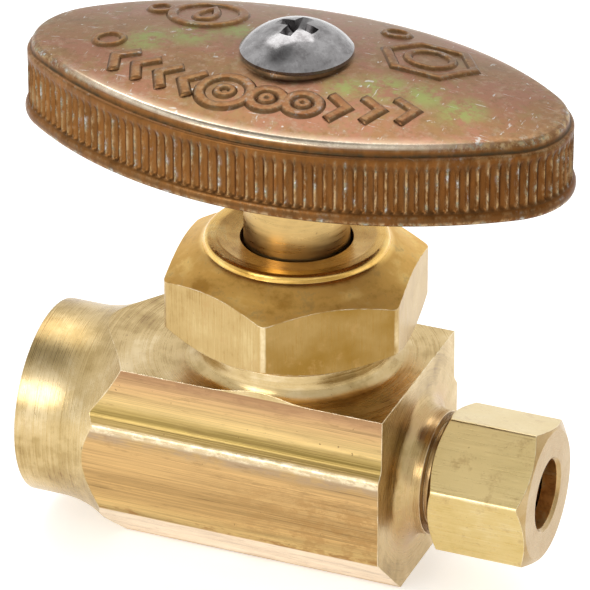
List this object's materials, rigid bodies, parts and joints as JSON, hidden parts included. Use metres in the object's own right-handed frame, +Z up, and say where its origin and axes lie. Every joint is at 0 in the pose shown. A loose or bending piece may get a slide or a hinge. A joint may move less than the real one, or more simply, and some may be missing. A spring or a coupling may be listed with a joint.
{
  "type": "straight stop valve",
  "caption": "Straight multi-turn brass stop valve: solder socket inlet, compression outlet for small tube, oval handle that screws the stem down onto the seat.",
  "frame": {"origin": "centre of the inlet socket's mouth", "axes": "+X along the flow to the outlet, +Z up the stem to the handle, +Y completes the right-handed set"},
  "size_m": [0.0534, 0.0278, 0.0544],
  "materials": {
    "body_brass": "satin, drawn and turned",
    "nut_brass": "turned cone, brushed flats",
    "outlet_brass": "satin",
    "stem_brass": "polished",
    "ring_brass": "satin",
    "packing_rubber": "matte",
    "washer_rubber": "matte",
    "handle_bronze": "worn bronze plating",
    "screw_steel": "polished"
  },
  "bodies": {
    "valve": {"valve_body": "body_brass", "bonnet_nut": "nut_brass", "packing_washer": "ring_brass", "stem_packing": "packing_rubber", "friction_ring": "ring_brass"},
    "stem_rise": {"seat_washer": "washer_rubber"},
    "spindle": {"stem": "stem_brass", "seat_washer_screw": "ring_brass", "handle": "handle_bronze", "handle_screw": "screw_steel"},
    "sleeve": {"compression_sleeve": "ring_brass"},
    "nut": {"outlet_nut": "outlet_brass"}
  },
  "joints": [
    {"name": "stem_lift", "type": "slide", "parent": "valve", "child": "stem_rise", "axis": [0, 0, 1], "range_m": [-0.00494, 0]},
    {"name": "stem_turn", "type": "hinge", "parent": "stem_rise", "child": "spindle", "pos_m": [0.025, 0, 0], "axis": [0, 0, 1], "range_deg": [-1260, 0]},
    {"name": "nut_travel", "type": "slide", "parent": "valve", "child": "sleeve", "axis": [1, 0, 0], "range_m": [0, 0.00529]},
    {"name": "nut_turn", "type": "hinge", "parent": "sleeve", "child": "nut", "pos_m": [0.045, 0, 0], "axis": [1, 0, 0], "range_deg": [0, 1800]}
  ],
  "couplings": [
    {"joint": "stem_lift", "follows": "stem_turn", "m_per_rad": 0.00022458},
    {"joint": "nut_travel", "follows": "nut_turn", "m_per_rad": 0.00016844}
  ]
}
